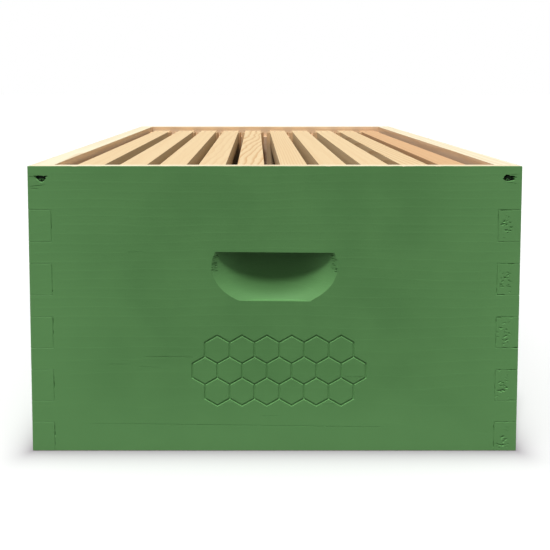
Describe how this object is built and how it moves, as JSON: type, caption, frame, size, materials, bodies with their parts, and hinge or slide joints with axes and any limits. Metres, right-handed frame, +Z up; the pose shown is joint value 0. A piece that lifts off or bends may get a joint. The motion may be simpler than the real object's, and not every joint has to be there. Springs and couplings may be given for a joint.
{
  "type": "langstroth hive box",
  "caption": "Deep wooden hive body with finger-jointed boards and scooped hand holds, holding hanging frames that lift out upwards.",
  "frame": {"origin": "centre of the bottom edge of the box", "axes": "+X across the ten frames, +Y along the frames, +Z up; the front board faces -Y"},
  "size_m": [0.4128, 0.5048, 0.2445],
  "materials": {
    "painted_wood": "satin green paint outside, bare pine on the rims and inside",
    "frame_wood": "bare planed pine",
    "foundation_plastic": "moulded black",
    "nail_steel": "bright wire"
  },
  "bodies": {
    "box": {"front_panel": "painted_wood", "back_panel": "painted_wood", "left_panel": "painted_wood", "right_panel": "painted_wood", "corner_nails": "nail_steel"},
    "frame_1": {"frame_1_top_bar": "frame_wood", "frame_1_end_bars": "frame_wood", "frame_1_bottom_bar": "frame_wood", "frame_1_foundation": "foundation_plastic", "frame_1_nails": "nail_steel"},
    "frame_2": {"frame_2_top_bar": "frame_wood", "frame_2_end_bars": "frame_wood", "frame_2_bottom_bar": "frame_wood", "frame_2_foundation": "foundation_plastic", "frame_2_nails": "nail_steel"},
    "frame_3": {"frame_3_top_bar": "frame_wood", "frame_3_end_bars": "frame_wood", "frame_3_bottom_bar": "frame_wood", "frame_3_foundation": "foundation_plastic", "frame_3_nails": "nail_steel"},
    "frame_4": {"frame_4_top_bar": "frame_wood", "frame_4_end_bars": "frame_wood", "frame_4_bottom_bar": "frame_wood", "frame_4_foundation": "foundation_plastic", "frame_4_nails": "nail_steel"},
    "frame_5": {"frame_5_top_bar": "frame_wood", "frame_5_end_bars": "frame_wood", "frame_5_bottom_bar": "frame_wood", "frame_5_foundation": "foundation_plastic", "frame_5_nails": "nail_steel"},
    "frame_6": {"frame_6_top_bar": "frame_wood", "frame_6_end_bars": "frame_wood", "frame_6_bottom_bar": "frame_wood", "frame_6_foundation": "foundation_plastic", "frame_6_nails": "nail_steel"},
    "frame_7": {"frame_7_top_bar": "frame_wood", "frame_7_end_bars": "frame_wood", "frame_7_bottom_bar": "frame_wood", "frame_7_foundation": "foundation_plastic", "frame_7_nails": "nail_steel"},
    "frame_8": {"frame_8_top_bar": "frame_wood", "frame_8_end_bars": "frame_wood", "frame_8_bottom_bar": "frame_wood", "frame_8_foundation": "foundation_plastic", "frame_8_nails": "nail_steel"},
    "frame_9": {"frame_9_top_bar": "frame_wood", "frame_9_end_bars": "frame_wood", "frame_9_bottom_bar": "frame_wood", "frame_9_foundation": "foundation_plastic", "frame_9_nails": "nail_steel"},
    "frame_10": {"frame_10_top_bar": "frame_wood", "frame_10_end_bars": "frame_wood", "frame_10_bottom_bar": "frame_wood", "frame_10_foundation": "foundation_plastic", "frame_10_nails": "nail_steel"}
  },
  "joints": [
    {"name": "frame_1_lift", "type": "slide", "parent": "box", "child": "frame_1", "axis": [0, 0, 1], "range_m": [0, 0.25]},
    {"name": "frame_2_lift", "type": "slide", "parent": "box", "child": "frame_2", "axis": [0, 0, 1], "range_m": [0, 0.25]},
    {"name": "frame_3_lift", "type": "slide", "parent": "box", "child": "frame_3", "axis": [0, 0, 1], "range_m": [0, 0.25]},
    {"name": "frame_4_lift", "type": "slide", "parent": "box", "child": "frame_4", "axis": [0, 0, 1], "range_m": [0, 0.25]},
    {"name": "frame_5_lift", "type": "slide", "parent": "box", "child": "frame_5", "axis": [0, 0, 1], "range_m": [0, 0.25]},
    {"name": "frame_6_lift", "type": "slide", "parent": "box", "child": "frame_6", "axis": [0, 0, 1], "range_m": [0, 0.25]},
    {"name": "frame_7_lift", "type": "slide", "parent": "box", "child": "frame_7", "axis": [0, 0, 1], "range_m": [0, 0.25]},
    {"name": "frame_8_lift", "type": "slide", "parent": "box", "child": "frame_8", "axis": [0, 0, 1], "range_m": [0, 0.25]},
    {"name": "frame_9_lift", "type": "slide", "parent": "box", "child": "frame_9", "axis": [0, 0, 1], "range_m": [0, 0.25]},
    {"name": "frame_10_lift", "type": "slide", "parent": "box", "child": "frame_10", "axis": [0, 0, 1], "range_m": [0, 0.25]}
  ]
}
